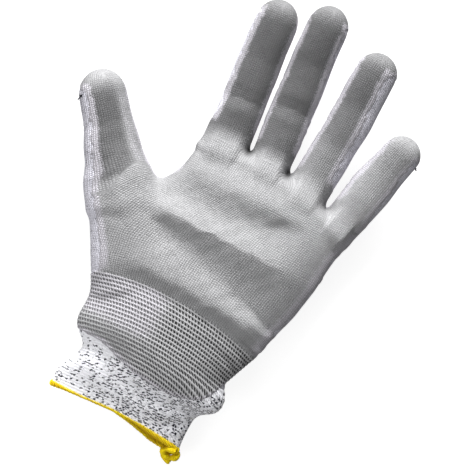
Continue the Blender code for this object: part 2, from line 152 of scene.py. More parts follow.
# The thumb's mound, in a frame at the thumb's root: distance, left, right, lowest and highest point.
MOUND_DIRECTION = -36.0
MOUND = (
    (-52, -18.5, 6, 3, 22),
    (-40, -20.6, 10, 0.6, 26),
    (-27, -19.8, 15, -0.6, 28.2),
    (-12, -19.6, 17, -0.6, 28.4),
    (4, -17.6, 16, 1, 25.6),
)
MOUND_ROUND = 12.0


def ease(low, high, value):
    """0 before low, 1 after high, and smooth between them."""
    t = np.clip((value - low) / (high - low), 0, 1)
    return t * t * (3 - 2 * t)


def bell(value, width):
    return np.exp(-((value / width) ** 2))


def unit(vectors):
    return vectors / np.maximum(np.linalg.norm(vectors, axis=1), 1e-12)[:, None]


def line_at(x, line):
    """The height at x of a line of (x, y) points."""
    return np.interp(x, *zip(*line))


def smooth_rows(rows, blur):
    """Station rows as smooth curves: a function of the distance that gives every other column."""
    rows = np.array(rows, float)
    step = 0.5
    fine = np.arange(rows[0, 0] - 2 * blur, rows[-1, 0] + 2 * blur, step)
    kernel = np.hanning(2 * int(blur / step) + 3)
    kernel /= kernel.sum()
    half = len(kernel) // 2
    curves = []
    for column in rows[:, 1:].T:
        line = np.interp(fine, rows[:, 0], column)
        curves.append(np.convolve(np.pad(line, half, mode="edge"), kernel, "valid"))
    return lambda distance: [np.interp(distance, fine, curve) for curve in curves]


def egg(across, up, along, half, deep, length):
    """Signed distance, near enough, to a superelliptic tube with an elliptic end. Its inputs are shares."""
    ring = (np.abs(across) ** ROUNDNESS + np.abs(up) ** ROUNDNESS) ** (1 / ROUNDNESS)
    r = np.sqrt(ring**2 + along**2) + 1e-6
    slope = np.sqrt((across / half) ** 2 + (up / deep) ** 2 + (along / length) ** 2) + 1e-6
    return r * (r - 1) / slope


def soft_min(a, b, reach):
    h = np.maximum(reach - np.abs(a - b), 0) / reach
    return np.minimum(a, b) - h * h * reach / 4


class Digit:
    """A finger or the thumb, with its own frame: distance from the root, across, and up."""

    def __init__(self, name, rows):
        self.name = name
        self.length, self.tip = rows["length"], rows["tip"]
        self.root = JOINTS[name + ("_swing" if name == "thumb" else "_splay")]
        turn, roll = math.radians(rows["direction"]), math.radians(rows.get("roll", 0))
        self.along = np.array((math.sin(turn), math.cos(turn), 0))
        flat = np.array((math.cos(turn), -math.sin(turn), 0))
        upright = np.array((0, 0, 1))
        self.side = flat * math.cos(roll) - upright * math.sin(roll)
        self.up = flat * math.sin(roll) + upright * math.cos(roll)
        self.edges = smooth_rows(rows["edges"], 6)
        self.depth = smooth_rows(rows["depth"], 8)
        self.hinges = [float((JOINTS[f"{name}_{bend}_bend"] - self.root) @ self.along) for bend in BENDS[name]]
        rise = THUMB_RISE if name == "thumb" else FINGER_RISE
        places = (0, *self.hinges[1:], self.length)
        heights = [0.0]
        for start, end, angle in zip(places, places[1:], rise):
            heights.append(heights[-1] + (end - start) * math.tan(math.radians(angle)))
        before = (places[0] - 20, -20 * math.tan(math.radians(rise[0])))
        self.height = smooth_rows([before, *zip(places, heights)], 12)

    def local(self, points):
        """Distance along, and across and up from the middle line, as (N,) arrays."""
        away = points - self.root
        along = away @ self.along
        left, right = self.edges(along)
        across = away @ self.side - (left + right) / 2
        up = away @ self.up - self.height(along)[0]
        return along, across, up, (right - left) / 2, self.depth(along)[0]

    def place(self, along, across, up):
        """The reverse of local, for one point, with across and up as shares of the half width and depth."""
        left, right = self.edges(along)
        middle = (left + right) / 2 + across * (right - left) / 2
        high = self.height(along)[0] + up * self.depth(along)[0]
        return self.root + self.along * along + self.side * middle + self.up * high

    def distance(self, points):
        along, across, up, half, deep = self.local(points)
        into_tip = np.maximum(0, (along - (self.length - self.tip)) / self.tip)
        into_palm = np.maximum(0, (-6 - along) / 6)
        return egg(across / half, up / deep, into_tip + into_palm, half, deep, self.tip)


DIGIT = {name: Digit(name, rows) for name, rows in DIGITS.items()}
palm_rows = smooth_rows(PALM, PALM_BLUR)
palm_end = smooth_rows(PALM_END, 8)
mound_rows = smooth_rows(MOUND, 8)


def palm_section(points):
    """Middle, half width, middle height and half depth of the palm, wrist or cuff at each point."""
    left, right, low, high = palm_rows(points[:, 1])
    return (left + right) / 2, (right - left) / 2, (low + high) / 2, (high - low) / 2


def palm_distance(points):
    middle, half, level, deep = palm_section(points)
    past = (points[:, 1] - (palm_end(points[:, 0])[0] - PALM_END_ROUND)) / PALM_END_ROUND
    x, z = (points[:, 0] - middle) / half, (points[:, 2] - level) / deep
    return egg(x, z, np.maximum(0, past), half, deep, PALM_END_ROUND)


def mound_distance(points):
    turn = math.radians(MOUND_DIRECTION)
    away = points - DIGIT["thumb"].root
    along = away[:, 0] * math.sin(turn) + away[:, 1] * math.cos(turn)
    across = away[:, 0] * math.cos(turn) - away[:, 1] * math.sin(turn)
    left, right, low, high = mound_rows(along)
    half, deep = (right - left) / 2, (high - low) / 2
    x, z = (across - (left + right) / 2) / half, (points[:, 2] - (low + high) / 2) / deep
    end = np.maximum(0, (along - MOUND[-1][0]) / MOUND_ROUND) + np.maximum(0, (MOUND[0][0] - along) / 4)
    return egg(x, z, end, half, deep, MOUND_ROUND)


def near(points, digit):
    """Which points are near enough to a digit for it to matter."""
    away = points - digit.root
    along = away @ digit.along
    return (along > -24) & (along < digit.length + 12) & (np.abs(away @ digit.side) < 34)


def hand_distance(points):
    """Signed distance to the glove's outside."""
    palm = soft_min(palm_distance(points), mound_distance(points), THUMB_WEB)
    found = palm.copy()
    for name, digit in DIGIT.items():
        close = near(points, digit)
        _, across, up, half, deep = digit.local(points[close])
        face = ease(0.3, 0.9, np.abs(up / deep)) * ease(0.85, 0.45, np.abs(across / half))
        web = (THUMB_WEB if name == "thumb" else WEB) + FACE_WEB * face
        joined = soft_min(palm[close], digit.distance(points[close]), web)
        found[close] = np.minimum(found[close], joined)
    return found


def surface_net(values, low, step):
    """The zero surface of a grid of distances: points, and four-sided faces that point outwards."""
    inside = values < 0
    cells = tuple(n - 1 for n in values.shape)
    corners = [(i, j, k) for i in (0, 1) for j in (0, 1) for k in (0, 1)]

    def at(array, corner):
        return array[tuple(slice(start, start + size) for start, size in zip(corner, cells))]

    count = sum(at(inside, c).astype(np.int8) for c in corners)
    active = (count > 0) & (count < 8)
    number = np.full(cells, -1, np.int64)
    number[active] = np.arange(active.sum())
    spots = np.argwhere(active)
    value = {c: at(values, c)[active] for c in corners}
    total, hits = np.zeros((len(spots), 3)), np.zeros(len(spots))
    for a in corners:
        for axis in range(3):
            if a[axis]:
                continue
            b = tuple(1 if k == axis else a[k] for k in range(3))
            crossing = (value[a] < 0) != (value[b] < 0)
            share = np.where(crossing, value[a] / (value[a] - value[b] + 1e-12), 0)
            place = np.tile(np.array(a, float), (len(spots), 1))
            place[:, axis] += share
            total += place * crossing[:, None]
            hits += crossing
    faces = []
    for axis in range(3):
        u, v = (axis + 1) % 3, (axis + 2) % 3
        first = [slice(None)] * 3
        second = [slice(None)] * 3
        first[axis], second[axis] = slice(0, -1), slice(1, None)
        for other in (u, v):
            first[other] = second[other] = slice(1, -1)
        a, b = inside[tuple(first)], inside[tuple(second)]
        edge = np.argwhere(a != b)
        outward = a[a != b]
        edge[:, u] += 1
        edge[:, v] += 1

        def cell(du, dv):
            c = edge.copy()
            c[:, u] -= du
            c[:, v] -= dv
            return number[tuple(c.T)]

        quads = np.stack([cell(1, 1), cell(0, 1), cell(0, 0), cell(1, 0)], 1)
        quads[~outward] = quads[~outward][:, ::-1]
        faces.append(quads)
    return low + step * (spots + total / hits[:, None]), np.vstack(faces)


def subdivide(points, faces):
    """Each four-sided face split into four."""
    following = np.roll(faces, -1, 1)
    low, high = np.minimum(faces, following), np.maximum(faces, following)
    code, index = np.unique(low * len(points) + high, return_inverse=True)
    ends = np.stack([code // len(points), code % len(points)], 1)
    on_edge = len(points) + index.reshape(faces.shape)
    centre = len(points) + len(ends) + np.arange(len(faces))
    parts = [np.stack([faces[:, i], on_edge[:, i], centre, on_edge[:, i - 1]], 1) for i in range(4)]
    return np.vstack([points, points[ends].mean(1), points[faces].mean(1)]), np.vstack(parts)


def settle(points, rounds=3):
    """Points moved onto the zero surface of the hand's distance."""
    nudge = 0.05
    for _ in range(rounds):
        value = hand_distance(points)
        slope = np.empty_like(points)
        for axis in range(3):
            moved = points.copy()
            moved[:, axis] += nudge
            slope[:, axis] = (hand_distance(moved) - value) / nudge
        points = points - slope * (value / np.maximum((slope**2).sum(1), 0.2))[:, None]
    return points


def normals_of(points, faces):
    a, b = points[faces[:, 2]] - points[faces[:, 0]], points[faces[:, 3]] - points[faces[:, 1]]
    face = np.cross(a, b)
    total = np.empty_like(points)
    for axis in range(3):
        weights = np.repeat(face[:, axis], 4)
        total[:, axis] = np.bincount(faces.ravel(), weights, len(points))
    return unit(total)


# Relief

# Folds across the palm: each line's height, and its course as (x, y) points, from the fingers down.
FOLDS = (
    (0.0, ((-60, 54), (60, 52))),
    (1.5, ((-60, 40), (-20, 40), (31, 39), (60, 38))),
    (-2.0, ((-60, 22), (-24, 23.5), (-2, 23.8), (20, 26.3), (37, 31.5), (60, 34))),
    (2.1, ((-60, 12), (-24, 11.6), (10, 11.4), (37, 11.2), (60, 8))),
    (-2.0, ((-60, 6), (-29.5, 3), (0, -3.5), (20, -8.5), (37, -14.5), (48, -19.5), (60, -22))),
    (1.9, ((-60, -17), (-13, -19.4), (20, -21.6), (42, -25), (60, -28))),
    (-0.9, ((-60, -32), (-30, -29), (0, -28.5), (20, -30.5), (48, -36), (60, -39))),
    (0.0, ((-60, -36), (60, -40))),
)
SHARP_FOLD = 3  # this one has a crisp edge
UPPER_FOLDS = (1, 2)  # these fade before the palm's right side
KNUCKLE_DEPTH = {"index": (0.1, 0.8, 0.2), "middle": (0.1, 0.8, 0.25), "ring": (0.05, 0.22, 0.15),
                 "little": (0.05, 0.15, 0.1), "thumb": (0.25, 0.3)}
# Dimples where the fingers part: x, y and depth, which also sets how dark their painted shade is.
DIMPLES = ((-4.2, 60.6, 3.4), (19.8, 58.8, 3.4), (45.8, 52.4, 2.0))
RIB_PITCH = 2.2
RIB_HEIGHT = 0.14
RIB_TOP = (-26.8, -28.6)  # the rows over which it starts
PINCH = (40.0, -78.5)  # where the cuff's right edge is drawn in


def rib_arc(x):
    """How far the knit's rows sag to the sides of the wrist."""
    return np.where(x > -12, -0.0027, -0.0042) * (x + 12) ** 2


def row_of(points):
    """The distance along the knit, whose rows sag at the wrist and crowd together at the pinch."""
    x, y, _ = points.T
    sag = ease(20, -30, y) * (1 - 0.85 * ease(-66, -97, y))
    row = y - rib_arc(x) * sag
    pull = bell(x - PINCH[0], 20) * bell(y - PINCH[1], 9)
    return row + (y - PINCH[1]) * 1.1 * pull


def palm_fold(points):
    """Height of the palm's folds, by smooth steps between one line and the next."""
    x, y, _ = points.T
    stray = 0.7 * waves(points, 51, 11)
    lines = [line_at(x, line) + stray for _, line in FOLDS]
    height = np.zeros(len(points))
    levels = [level * np.ones(len(points)) for level, _ in FOLDS]
    for i in UPPER_FOLDS:
        levels[i] = levels[i] * ease(46, 22, x)
    for i in range(len(FOLDS) - 1):
        t = np.clip((lines[i] - y) / (lines[i] - lines[i + 1]), 0, 1)
        share = (1 - np.cos(math.pi * t)) / 2
        crisp = 0.6 * ease(-34, -14, x) * ease(50, 34, x)
        if i + 1 == SHARP_FOLD:
            share = share * (1 - crisp) + (1 - np.cos(math.pi / 2 * t)) * crisp
        elif i == SHARP_FOLD:
            share = share * (1 - crisp) + np.sin(math.pi / 2 * t) * crisp
        between = (y <= lines[i]) & (y > lines[i + 1])
        height[between] = (levels[i] + (levels[i + 1] - levels[i]) * share)[between]
    return height * ease(-44, -22, x) * ease(60, 34, x)


def waves(points, seed, size):
    """Smooth unevenness between -1 and 1, from a few sums of sines with fixed directions."""
    rng = np.random.default_rng(seed)
    total = np.zeros(len(points))
    for _ in range(7):
        direction = rng.normal(size=3)
        direction *= 2 * math.pi / size / np.linalg.norm(direction) * rng.uniform(0.6, 1.5)
        total += np.sin(points @ direction + rng.uniform(0, 6.28))
    return total / 4


def relief(points, normals):
    """How far the fabric's folds and creases lift each point, as vectors."""
    x, y, _ = points.T
    front = ease(0.05, 0.65, normals[:, 2])
    back = ease(0.05, 0.65, -normals[:, 2])
    lift = palm_fold(points) * front
    out = 0.22 * waves(points, 3, 26) * ease(-96, -80, y)
    for name, digit in DIGIT.items():
        close = near(points, digit)
        along, across, up, half, deep = digit.local(points[close])
        on = ease(-6, 4, along) * (np.abs(across) < half * 1.15)
        dent = np.zeros(len(along))
        unevenness = waves(points[close], 12, 8)
        for hinge, depth in zip(digit.hinges, KNUCKLE_DEPTH[name]):
            bow = along - hinge + 1.6 * (across / half) ** 2 + 0.8 * unevenness
            dent -= depth * (0.9 * bell(bow, 4.2) + 0.2 * bell(bow, 1.3) + 0.2 * bell(bow - 4.2, 1.6))
            dent += depth * 0.5 * bell(bow + 7, 3) * bell(across / half + 0.2, 0.6)
        palmar = ease(0.1, 0.8, normals[close] @ digit.up)
        lift[close] += dent * on * palmar * front[close]
        rear = ease(0.1, 0.8, -(normals[close] @ digit.up))
        for hinge in digit.hinges[1:]:
            out[close] += 0.3 * on * rear * np.sin(along * 2.2) * bell(along - hinge, 5)
    for spot_x, spot_y, depth in DIMPLES:
        lift -= depth * bell(np.hypot((x - spot_x) * 1.3, y - spot_y), 3.0) * front
    thumb = DIGIT["thumb"]
    away = points - thumb.root
    along, across = away @ thumb.along, away @ thumb.side
    crease = along - 6.0 - 0.16 * (across + 14)
    lift -= 1.1 * bell(crease, 3.4) * bell(across + 10, 11) * front
    lift += 1.3 * bell(along - 19, 11) * bell(across, 16) * front
    row = row_of(points)
    ribbed = ease(-26.6, -28.4, row) * ease(-76, -70, y)
    out += RIB_HEIGHT * ribbed * np.cos(2 * math.pi * row / RIB_PITCH)
    # Folds that fan out from the pinch, the bulge above it, and slack round the neck.
    dx, dy = x - PINCH[0], y - PINCH[1]
    reach = np.hypot(dx, dy)
    fan = np.sin(11 * np.arctan2(dy, dx) + 1.0) * ease(2, 10, reach) * ease(62, 12, reach)
    out += 0.55 * fan * ease(-74, -80, y) * ease(-97, -88, y) * (front + 0.6 * back)
    slant = y + 0.32 * (x - 40)
    out += 0.5 * np.sin(slant * 0.85) * bell(x - 46, 14) * bell(y + 42, 16) * front
    out += 0.5 * waves(points, 8, 15) * bell(y + 76, 14)
    return lift[:, None] * np.array((0, 0, 1)) + out[:, None] * normals


# The cuff's edge runs lower or higher than EDGE_Y: x and y along the front, then along the back.
FRONT_EDGE = ((-44, -98.4), (-25, -97.6), (-8, -96.4), (10, -96.9), (22, -98.2), (36, -100.2))
BACK_EDGE = ((-44, -98.6), (-25, -98.0), (-6, -97.4), (6, -99.4), (18, -102.0), (27, -102.4), (36, -100.6))


def shape_edge(points):
    """The cuff's points moved so that its edge follows those two lines."""
    x, y, _ = points.T
    _, _, level, deep = palm_section(points)
    front = ease(-0.5, 0.5, (points[:, 2] - level) / deep)
    target = line_at(x, FRONT_EDGE) * front + line_at(x, BACK_EDGE) * (1 - front)
    moved = points.copy()
    moved[:, 1] += (target - EDGE_Y) * ease(-84, EDGE_Y, y)
    return moved


# Surfaces


def open_surface():
    """The glove's outside as points and faces, open at the cuff's edge."""
    # The grid starts so that a row of cells ends half a voxel past the cuff's edge.
    low = np.array((GRID_LOW[0], EDGE_Y - 0.5 * VOXEL - 6 * VOXEL, GRID_LOW[1]))
    counts = np.ceil((np.array(GRID_HIGH) - low) / VOXEL).astype(int)
    axes = [low[k] + VOXEL * np.arange(counts[k]) for k in range(3)]
    grid = np.stack(np.meshgrid(*axes, indexing="ij"), -1).reshape(-1, 3)
    values = hand_distance(grid).reshape(counts)
    points, faces = surface_net(values, low, VOXEL)
    keep = (points[faces][:, :, 1] > EDGE_Y - 0.5 * VOXEL - 0.01).all(1)
    index, faces = renumbered(faces[keep])
    return points[index], faces


def renumbered(faces):
    """The points that these faces use, and the faces with those points counted from 0."""
    index, order = np.unique(faces, return_inverse=True)
    return index, order.reshape(-1, 4)


PALM_KNIT, DIGIT_KNIT = 50.0, 12.0  # half widths that the knit's columns are counted on
SEAM_JUMP = 2.5  # of the pattern's coordinates within one face


class Surface:
    """Points, faces, normals and what the materials read at each point."""

    def __init__(self, points, faces):
        self.rest = points
        normals = normals_of(points, faces)
        self.points = shape_edge(points + relief(points, normals))
        self.faces = faces
        self.normals = normals_of(self.points, faces)
        self.read()

    def read(self):
        """Sets owner, 0 for the palm or a digit's number, and the attributes that materials read."""
        points = self.rest
        x, y, z = points.T
        distances = np.full((len(points), 1 + len(DIGIT)), FAR)
        distances[:, 0] = np.minimum(palm_distance(points), mound_distance(points))
        along = np.full((len(points), 1 + len(DIGIT)), -FAR)
        middle, half, level, deep = palm_section(points)
        across, up = x - middle, z - level
        knit_u = around(across, up, half, deep) * PALM_KNIT / half
        knit_v = row_of(points)
        coat = palm_coat(points, up / deep)
        thin = palm_thin(points)
        painted_shading_and_dashes = np.zeros(len(points))
        for i, digit in enumerate(DIGIT.values(), 1):
            close = near(points, digit)
            distances[close, i] = digit.distance(points[close])
            along[close, i] = (points[close] - digit.root) @ digit.along
        owner = distances.argmin(1)
        owner[along.max(1) < 0] = 0
        for i, (name, digit) in enumerate(DIGIT.items(), 1):
            mine = (owner == i) & (along[:, i] > 0)
            s, across, up, half, deep = digit.local(points[mine])
            knit_u[mine] = around(across, up, half, deep) * DIGIT_KNIT / half + round(digit.root[0])
            knit_v[mine] = s + digit.root[1]
            edge, faint = digit_coat(name, digit, s, across / half, up / deep, points[mine])
            join = np.where(up > 0, ease(4, 12, s), ease(0, 9, s))
            coat[mine] = coat[mine] * (1 - join) + edge * join
            thin[mine] = thin[mine] * (1 - join) + faint * join
            painted_shading_and_dashes[mine] = digit_painted_shading(name, s, across / half, s / digit.length)
        self.owner = np.where(along[np.arange(len(points)), owner] > 0, owner, 0)
        self.knit = np.stack([knit_u, knit_v, coat], 1)
        self.coat = coat
        rib = ease(*RIB_TOP, knit_v) * (owner == 0)
        rib *= 1 - 0.72 * bell(x + 27, 20) * bell(y + 63, 9)
        # Painted shade in the dimples where the fingers part, on the palm side.
        for spot_x, spot_y, depth in DIMPLES:
            spot = bell(np.hypot((x - spot_x) * 1.2, y - spot_y), 3.6)
            painted_shading_and_dashes = np.maximum(painted_shading_and_dashes, 0.5 * depth * spot * (z > 8))
        # Below the wrist this channel carries the cuff's dash density, not painted shade.
        dashes = 0.42 + 0.58 * ease(-38, 2, x)
        painted_shading_and_dashes = np.where(y < -50, dashes, painted_shading_and_dashes)
        # Where the pattern's coordinates jump within a face, thin is -1, and the paints leave the pattern out.
        spread = np.maximum(np.ptp(knit_u[self.faces], axis=1), np.ptp(knit_v[self.faces], axis=1))
        thin[self.faces[spread > SEAM_JUMP]] = -1.0
        self.zone = np.stack([rib, thin, painted_shading_and_dashes], 1)


def around(across, up, half, deep):
    """Distance round a section from its front or back middle line, less at its rounded sides."""
    drop = np.maximum(0, deep - np.abs(up))
    return np.sign(across) * (np.abs(across) ** 1.5 + drop**1.5) ** (1 / 1.5)


# Coating

# The coating's outline on the palm side. It lies past the silhouette where the coating wraps round.
COAT_LEFT = ((-103, 60), (-99, 56), (-94, 42), (-85, 26), (-74, 11), (-67, 0), (-60, -9), (-51, -22), (-47, -30),
             (-49, -36), (-50, -44), (-50, -62))
COAT_RIGHT = ((76, 60), (69, 46), (62.5, 28), (60.5, 12), (58, -4), (52.5, -22), (49.5, -34), (52, -44), (46, -54),
              (40.5, -55.5))
COAT_LOW = ((-60, -65), (-28, -66), (-20, -68.5), (-12, -71), (-5, -73), (5, -74.5), (15, -75), (22, -74),
            (28, -72.5), (33, -70), (37, -65), (40.5, -55.5), (60, -55.5))
# Where the coating ends to the left and right of each digit, as shares of its half width, at root and tip.
COAT_SIDES = {
    "index": ((-0.92, -0.88), (1.12, 1.06)),
    "middle": ((-1.06, -1.04), (1.02, 0.84)),
    "ring": ((-1.04, -1.02), (0.72, 0.45)),
    "little": ((-1.02, -1.0), (0.84, 0.72)),
    "thumb": ((-0.92, -0.86), (1.08, 1.06)),
}
COAT_TIP = 9.0  # length of tip that is coated all round
# Painted shade on each finger's coating, at its root and further out: darkest on the index and middle; below 0 it
# is painted light, as at the little finger's root.
PAINTED_SHADING = {"index": (1.0, 1.0), "middle": (0.9, 1.1), "ring": (0.2, 0.95), "little": (-0.7, 0.15)}


def course(points, y):
    xs, ys = np.array(points, float).T
    order = np.argsort(ys)
    return np.interp(y, ys[order], xs[order])


def palm_coat(points, height):
    """How far inside the coating each point of the palm and wrist lies, below 0 outside it."""
    x, y, _ = points.T
    left = x - course(COAT_LEFT, y)
    right = course(COAT_RIGHT, y) - x
    low = (y - line_at(x, COAT_LOW)) * 0.95
    low = low + 0.35 * waves(points, 21, 5)
    wrapped = (height + 0.12 * waves(points, 22, 14)) * 9
    wrapped = np.where(y < -50, wrapped + 2, wrapped + 1)
    ragged = 0.9 * waves(points, 23, 9) + 0.5 * waves(points, 24, 3.5)
    sides = np.minimum(left, right) + ragged
    return np.minimum(np.minimum(sides, wrapped), low)


def palm_thin(points):
    """Where the coating is thin enough for the knit to show through, from 0 to 1."""
    x, y, _ = points.T
    left, right = x - course(COAT_LEFT, y), course(COAT_RIGHT, y) - x
    side = np.maximum(ease(9, 1, left) * ease(-40, -24, y), ease(10, 1, right) * ease(-46, -30, y))
    band = 0.75 * ease(-26.8, -29, row_of(points)) * ease(6, -14, x) * ease(-62, -50, y)
    return np.clip(np.maximum(side, band), 0, 1)


def digit_coat(name, digit, along, across, up, points):
    """As palm_coat and palm_thin, for a digit; across and up are shares of its half width and depth."""
    (left_root, left_tip), (right_root, right_tip) = COAT_SIDES[name]
    share = np.clip(along / digit.length, 0, 1)
    left = left_root + (left_tip - left_root) * share
    right = right_root + (right_tip - right_root) * share
    # Past the middle height, across is counted on, so that a side above 1 lies round the corner.
    reach = np.where(up > 0, np.abs(across), 2 - np.minimum(np.abs(across), 1))
    signed = np.sign(across) * reach
    sides = np.minimum(signed - left, right - signed) * 11
    ragged = 0.7 * waves(points, 31, 7) + 0.5 * waves(points, 32, 3)
    tip = along - (digit.length - COAT_TIP) + np.where(up < 0, -2.0, 0)
    edge = np.maximum(sides + ragged, tip * 0.8 + ragged)
    faint = np.maximum(ease(4.5, 0.5, (signed - left) * 11), ease(5.5, 0.5, (right - signed) * 11))
    faint *= ease(0, -6, tip) * (up > -0.2)
    if name == "thumb":
        faint = np.maximum(faint, 0.42 * ease(0.15, 0.45, across) * ease(-4, 8, along) * ease(-1, -8, tip))
    return edge, faint


def digit_painted_shading(name, along, across, tip_share):
    """Painted shade on a digit's coating, from 0, as on the palm, to 1; below 0 it is painted light."""
    if name == "thumb":
        # Painted shade down the thumb's left and middle, less towards its right.
        return (0.4 + 0.75 * ease(0.5, 0.1, across)) * ease(-2, 20, along) * ease(1.0, 0.72, tip_share)
    root, end = PAINTED_SHADING[name]
    painted_shading_and_dashes = (root + (end - root) * np.clip(tip_share * 1.6, 0, 1)) * ease(-1, 9, along)
    return painted_shading_and_dashes * (1 - 0.3 * ease(0.75, 1.0, tip_share))


# Meshes


def linked(name, data):
    thing = bpy.data.objects.new(name, data)
    bpy.context.scene.collection.objects.link(thing)
    return thing


def mesh_piece(name, points, faces, material, normals=None, attributes=None):
    """A smooth mesh object from arrays, in metres."""
    mesh = bpy.data.meshes.new(name)
    mesh.from_pydata((points * MM).astype(np.float32), [], faces.astype(np.int32))
    mesh.shade_smooth()
    for label, values in (attributes or {}).items():
        mesh.attributes.new(label, "FLOAT_VECTOR", "POINT").data.foreach_set("vector", values.ravel())
    if normals is not None:
        mesh.normals_split_custom_set_from_vertices([tuple(n) for n in normals])
    mesh.materials.append(material)
    return linked(name, mesh)


def tube_piece(name, route, radius, material, sides=8, closed=False):
    """A round thread along points, its ends capped flat unless it is closed, as a mesh."""
    curve = bpy.data.curves.new(name, "CURVE")
    curve.dimensions = "3D"
    curve.bevel_depth = MM
    curve.bevel_resolution = max(0, sides // 2 - 2)
    curve.use_fill_caps = not closed
    spline = curve.splines.new("POLY")
    spline.points.add(len(route) - 1)
    radii = np.broadcast_to(radius, len(route))
    for spot, place, size in zip(spline.points, route, radii):
        spot.co = (*(np.array(place) * MM), 1)
        spot.radius = float(size)
    spline.use_cyclic_u = closed
    thing = linked(name, curve)
    mesh = bpy.data.meshes.new_from_object(thing.evaluated_get(bpy.context.evaluated_depsgraph_get()))
    bpy.data.objects.remove(thing)
    bpy.data.curves.remove(curve)
    mesh.name = name
    mesh.shade_smooth()
    mesh.materials.clear()
    mesh.materials.append(material)
    return linked(name, mesh)


# Materials


COLOUR_A, COLOUR_B, COLOUR_RESULT = 6, 7, 2  # the Mix node's colour sockets


class Value:
    """A number that a shader works out, with arithmetic."""

    def __init__(self, socket):
        self.socket = socket

    def through(self, kind, setting, *values):
        """The result of a node of this kind, with these values in its inputs."""
        node = self.socket.id_data.nodes.new(kind)
        setattr(node, *setting)
        for slot, value in zip(node.inputs, values):
            plug(slot, value)
        return Value(node.outputs[0])

    def maths(self, operation, *others):
        return self.through("ShaderNodeMath", ("operation", operation), self, *others)

    def __add__(self, other):
        return self.maths("ADD", other)

    def __sub__(self, other):
        return self.maths("SUBTRACT", other)

    def __mul__(self, other):
        return self.maths("MULTIPLY", other)

    def __truediv__(self, other):
        return self.maths("DIVIDE", other)

    def __rsub__(self, other):
        return self * -1.0 + other

    __radd__, __rmul__ = __add__, __mul__

    def between(self, low, high):
        """Smoothly from 0 at low to 1 at high."""
        setting = ("interpolation_type", "SMOOTHSTEP")
        return self.through("ShaderNodeMapRange", setting, self, low, high, 0.0, 1.0)


def plug(slot, value):
    """A socket gets a number or colour, or a link where the value is worked out."""
    if isinstance(value, Value):
        slot.id_data.links.new(value.socket, slot)
    else:
        slot.default_value = value


class Paint:
    """A Principled material built from what each point of a surface holds."""

    def __init__(self, name, roughness, **settings):
        self.material = bpy.data.materials.new(name)
        self.material.use_nodes = True
        self.tree = self.material.node_tree
        self.shader = self.tree.nodes["Principled BSDF"]
        self.shader.inputs["Roughness"].default_value = roughness
        for label, value in settings.items():
            self.shader.inputs[label.replace("_", " ")].default_value = value

    def node(self, kind, **settings):
        made = self.tree.nodes.new(kind)
        for label, value in settings.items():
            setattr(made, label, value)
        return made

    def attribute(self, name):
        """The three numbers of a point's attribute, and the attribute as a vector."""
        source = self.node("ShaderNodeAttribute", attribute_name=name)
        split = self.node("ShaderNodeSeparateXYZ")
        self.tree.links.new(source.outputs["Vector"], split.inputs[0])
        parts = [Value(output) for output in split.outputs]
        return (*parts, Value(source.outputs["Vector"]))

    def vector(self, x, y, z):
        joined = self.node("ShaderNodeCombineXYZ")
        for slot, value in zip(joined.inputs, (x, y, z)):
            plug(slot, value)
        return Value(joined.outputs[0])

    def noise(self, where, scale, detail=2.0, roughness=0.5):
        made = self.node("ShaderNodeTexNoise")
        plug(made.inputs["Vector"], where)
        made.inputs["Scale"].default_value = scale
        made.inputs["Detail"].default_value = detail
        made.inputs["Roughness"].default_value = roughness
        return Value(made.outputs["Fac"])

    def chance(self, *cell):
        """A random number for each whole-number cell."""
        made = self.node("ShaderNodeTexWhiteNoise", noise_dimensions="3D")
        plug(made.inputs["Vector"], self.vector(*cell))
        return Value(made.outputs["Value"])

    def mix(self, share, first, second):
        made = self.node("ShaderNodeMix", data_type="RGBA")
        plug(made.inputs["Factor"], share)
        plug(made.inputs[COLOUR_A], first)
        plug(made.inputs[COLOUR_B], second)
        return Value(made.outputs[COLOUR_RESULT])

    def finish(self, colour, height, roughness=None):
        """Colour, and relief as a height in millimetres."""
        plug(self.shader.inputs["Base Color"], colour)
        if roughness is not None:
            plug(self.shader.inputs["Roughness"], roughness)
        bump = self.node("ShaderNodeBump")
        bump.inputs["Strength"].default_value = 1.0
        bump.inputs["Distance"].default_value = MM
        plug(bump.inputs["Height"], height)
        self.tree.links.new(bump.outputs["Normal"], self.shader.inputs["Normal"])
        return self.material


WALE, COURSE = 1.2, 1.1  # pitch of the fine knit's columns and rows
BASE_GREY = 0.255  # of the coating on the palm
PAINTED_SHADING_DEPTH = 0.56  # how much darker the painted shade makes the coating where it is 1
PATTERN_ON = (-0.9, -0.05)  # thin rises through this at the edge of a place with no pattern
SPECK_BLACK, DASH_BLACK = (0.04, 0.04, 0.055, 1), (0.016, 0.016, 0.028, 1)
EDGE_YELLOW = (0.75, 0.46, 0.004, 1)
INNER_EDGE = (-91.5, -92.5)  # where the yellow starts inside the cuff


def wave(value, pitch):
    """A smooth ridge, 1 on whole multiples of the pitch and 0 between them."""
    turned = (value * (2 * math.pi / pitch)).maths("COSINE")
    return turned * 0.5 + 0.5


def stitches(u, v, loose=0.0):
    """The relief of stocking stitch, 0 to 1: columns of slanting legs. loose shifts it here and there."""
    column = u / WALE + loose
    share = (column.maths("FRACT") - 0.5).maths("ABSOLUTE") * 2.0
    leg = wave(v / COURSE + share * 0.5 + loose * 1.5, 1.0)
    return (leg * 0.6 + 0.4) * (1.0 - share.maths("POWER", 2.5))


def stitch_cell(paint, u, v, seed):
    """A random number for each stitch."""
    return paint.chance((u / WALE).maths("FLOOR"), (v / COURSE).maths("FLOOR"), seed)


